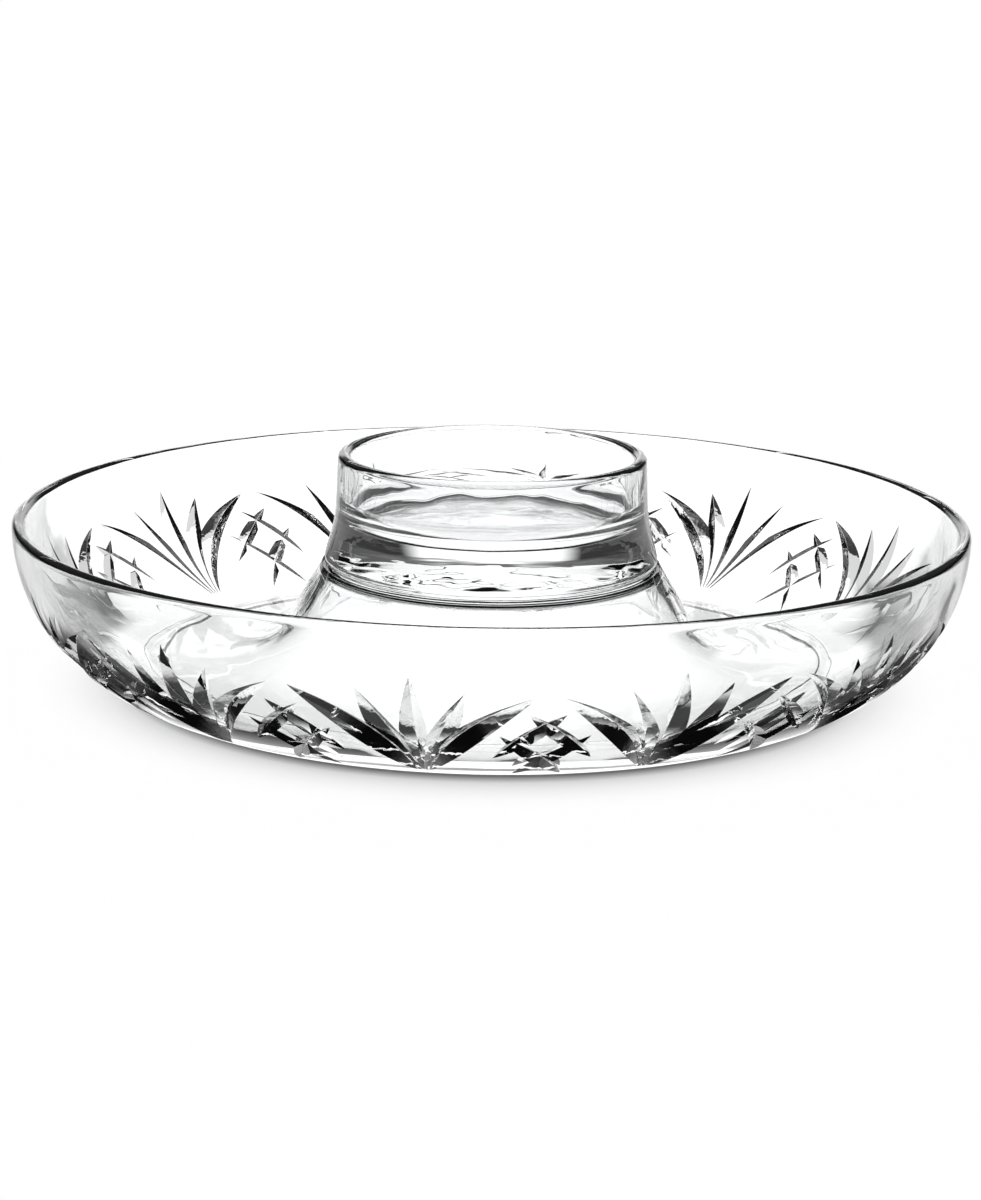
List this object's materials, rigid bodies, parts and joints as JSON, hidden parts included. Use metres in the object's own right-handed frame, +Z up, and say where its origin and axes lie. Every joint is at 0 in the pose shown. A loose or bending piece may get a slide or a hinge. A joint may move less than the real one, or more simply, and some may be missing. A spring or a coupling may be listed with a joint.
{
  "type": "chip and dip server",
  "caption": "Round cut-glass tray with a ring-shaped channel for chips and a lift-off dip bowl seated on its central pedestal.",
  "frame": {"origin": "centre of the foot ring, on the table the server stands on", "axes": "+Z up along the server's axis; -Y faces the front; +X to the right of the front"},
  "size_m": [0.305, 0.305, 0.0733],
  "materials": {
    "tray_glass": "clear colourless glass, fire-polished, with polished V cuts on the outer wall",
    "bowl_glass": "clear colourless glass, fire-polished rim and thick base"
  },
  "bodies": {
    "tray": {"chip_tray": "tray_glass"},
    "bowl": {"dip_bowl": "bowl_glass"}
  },
  "joints": [
    {"name": "bowl_lift", "type": "slide", "parent": "tray", "child": "bowl", "axis": [0, 0, 1], "range_m": [0, 0.12]}
  ]
}
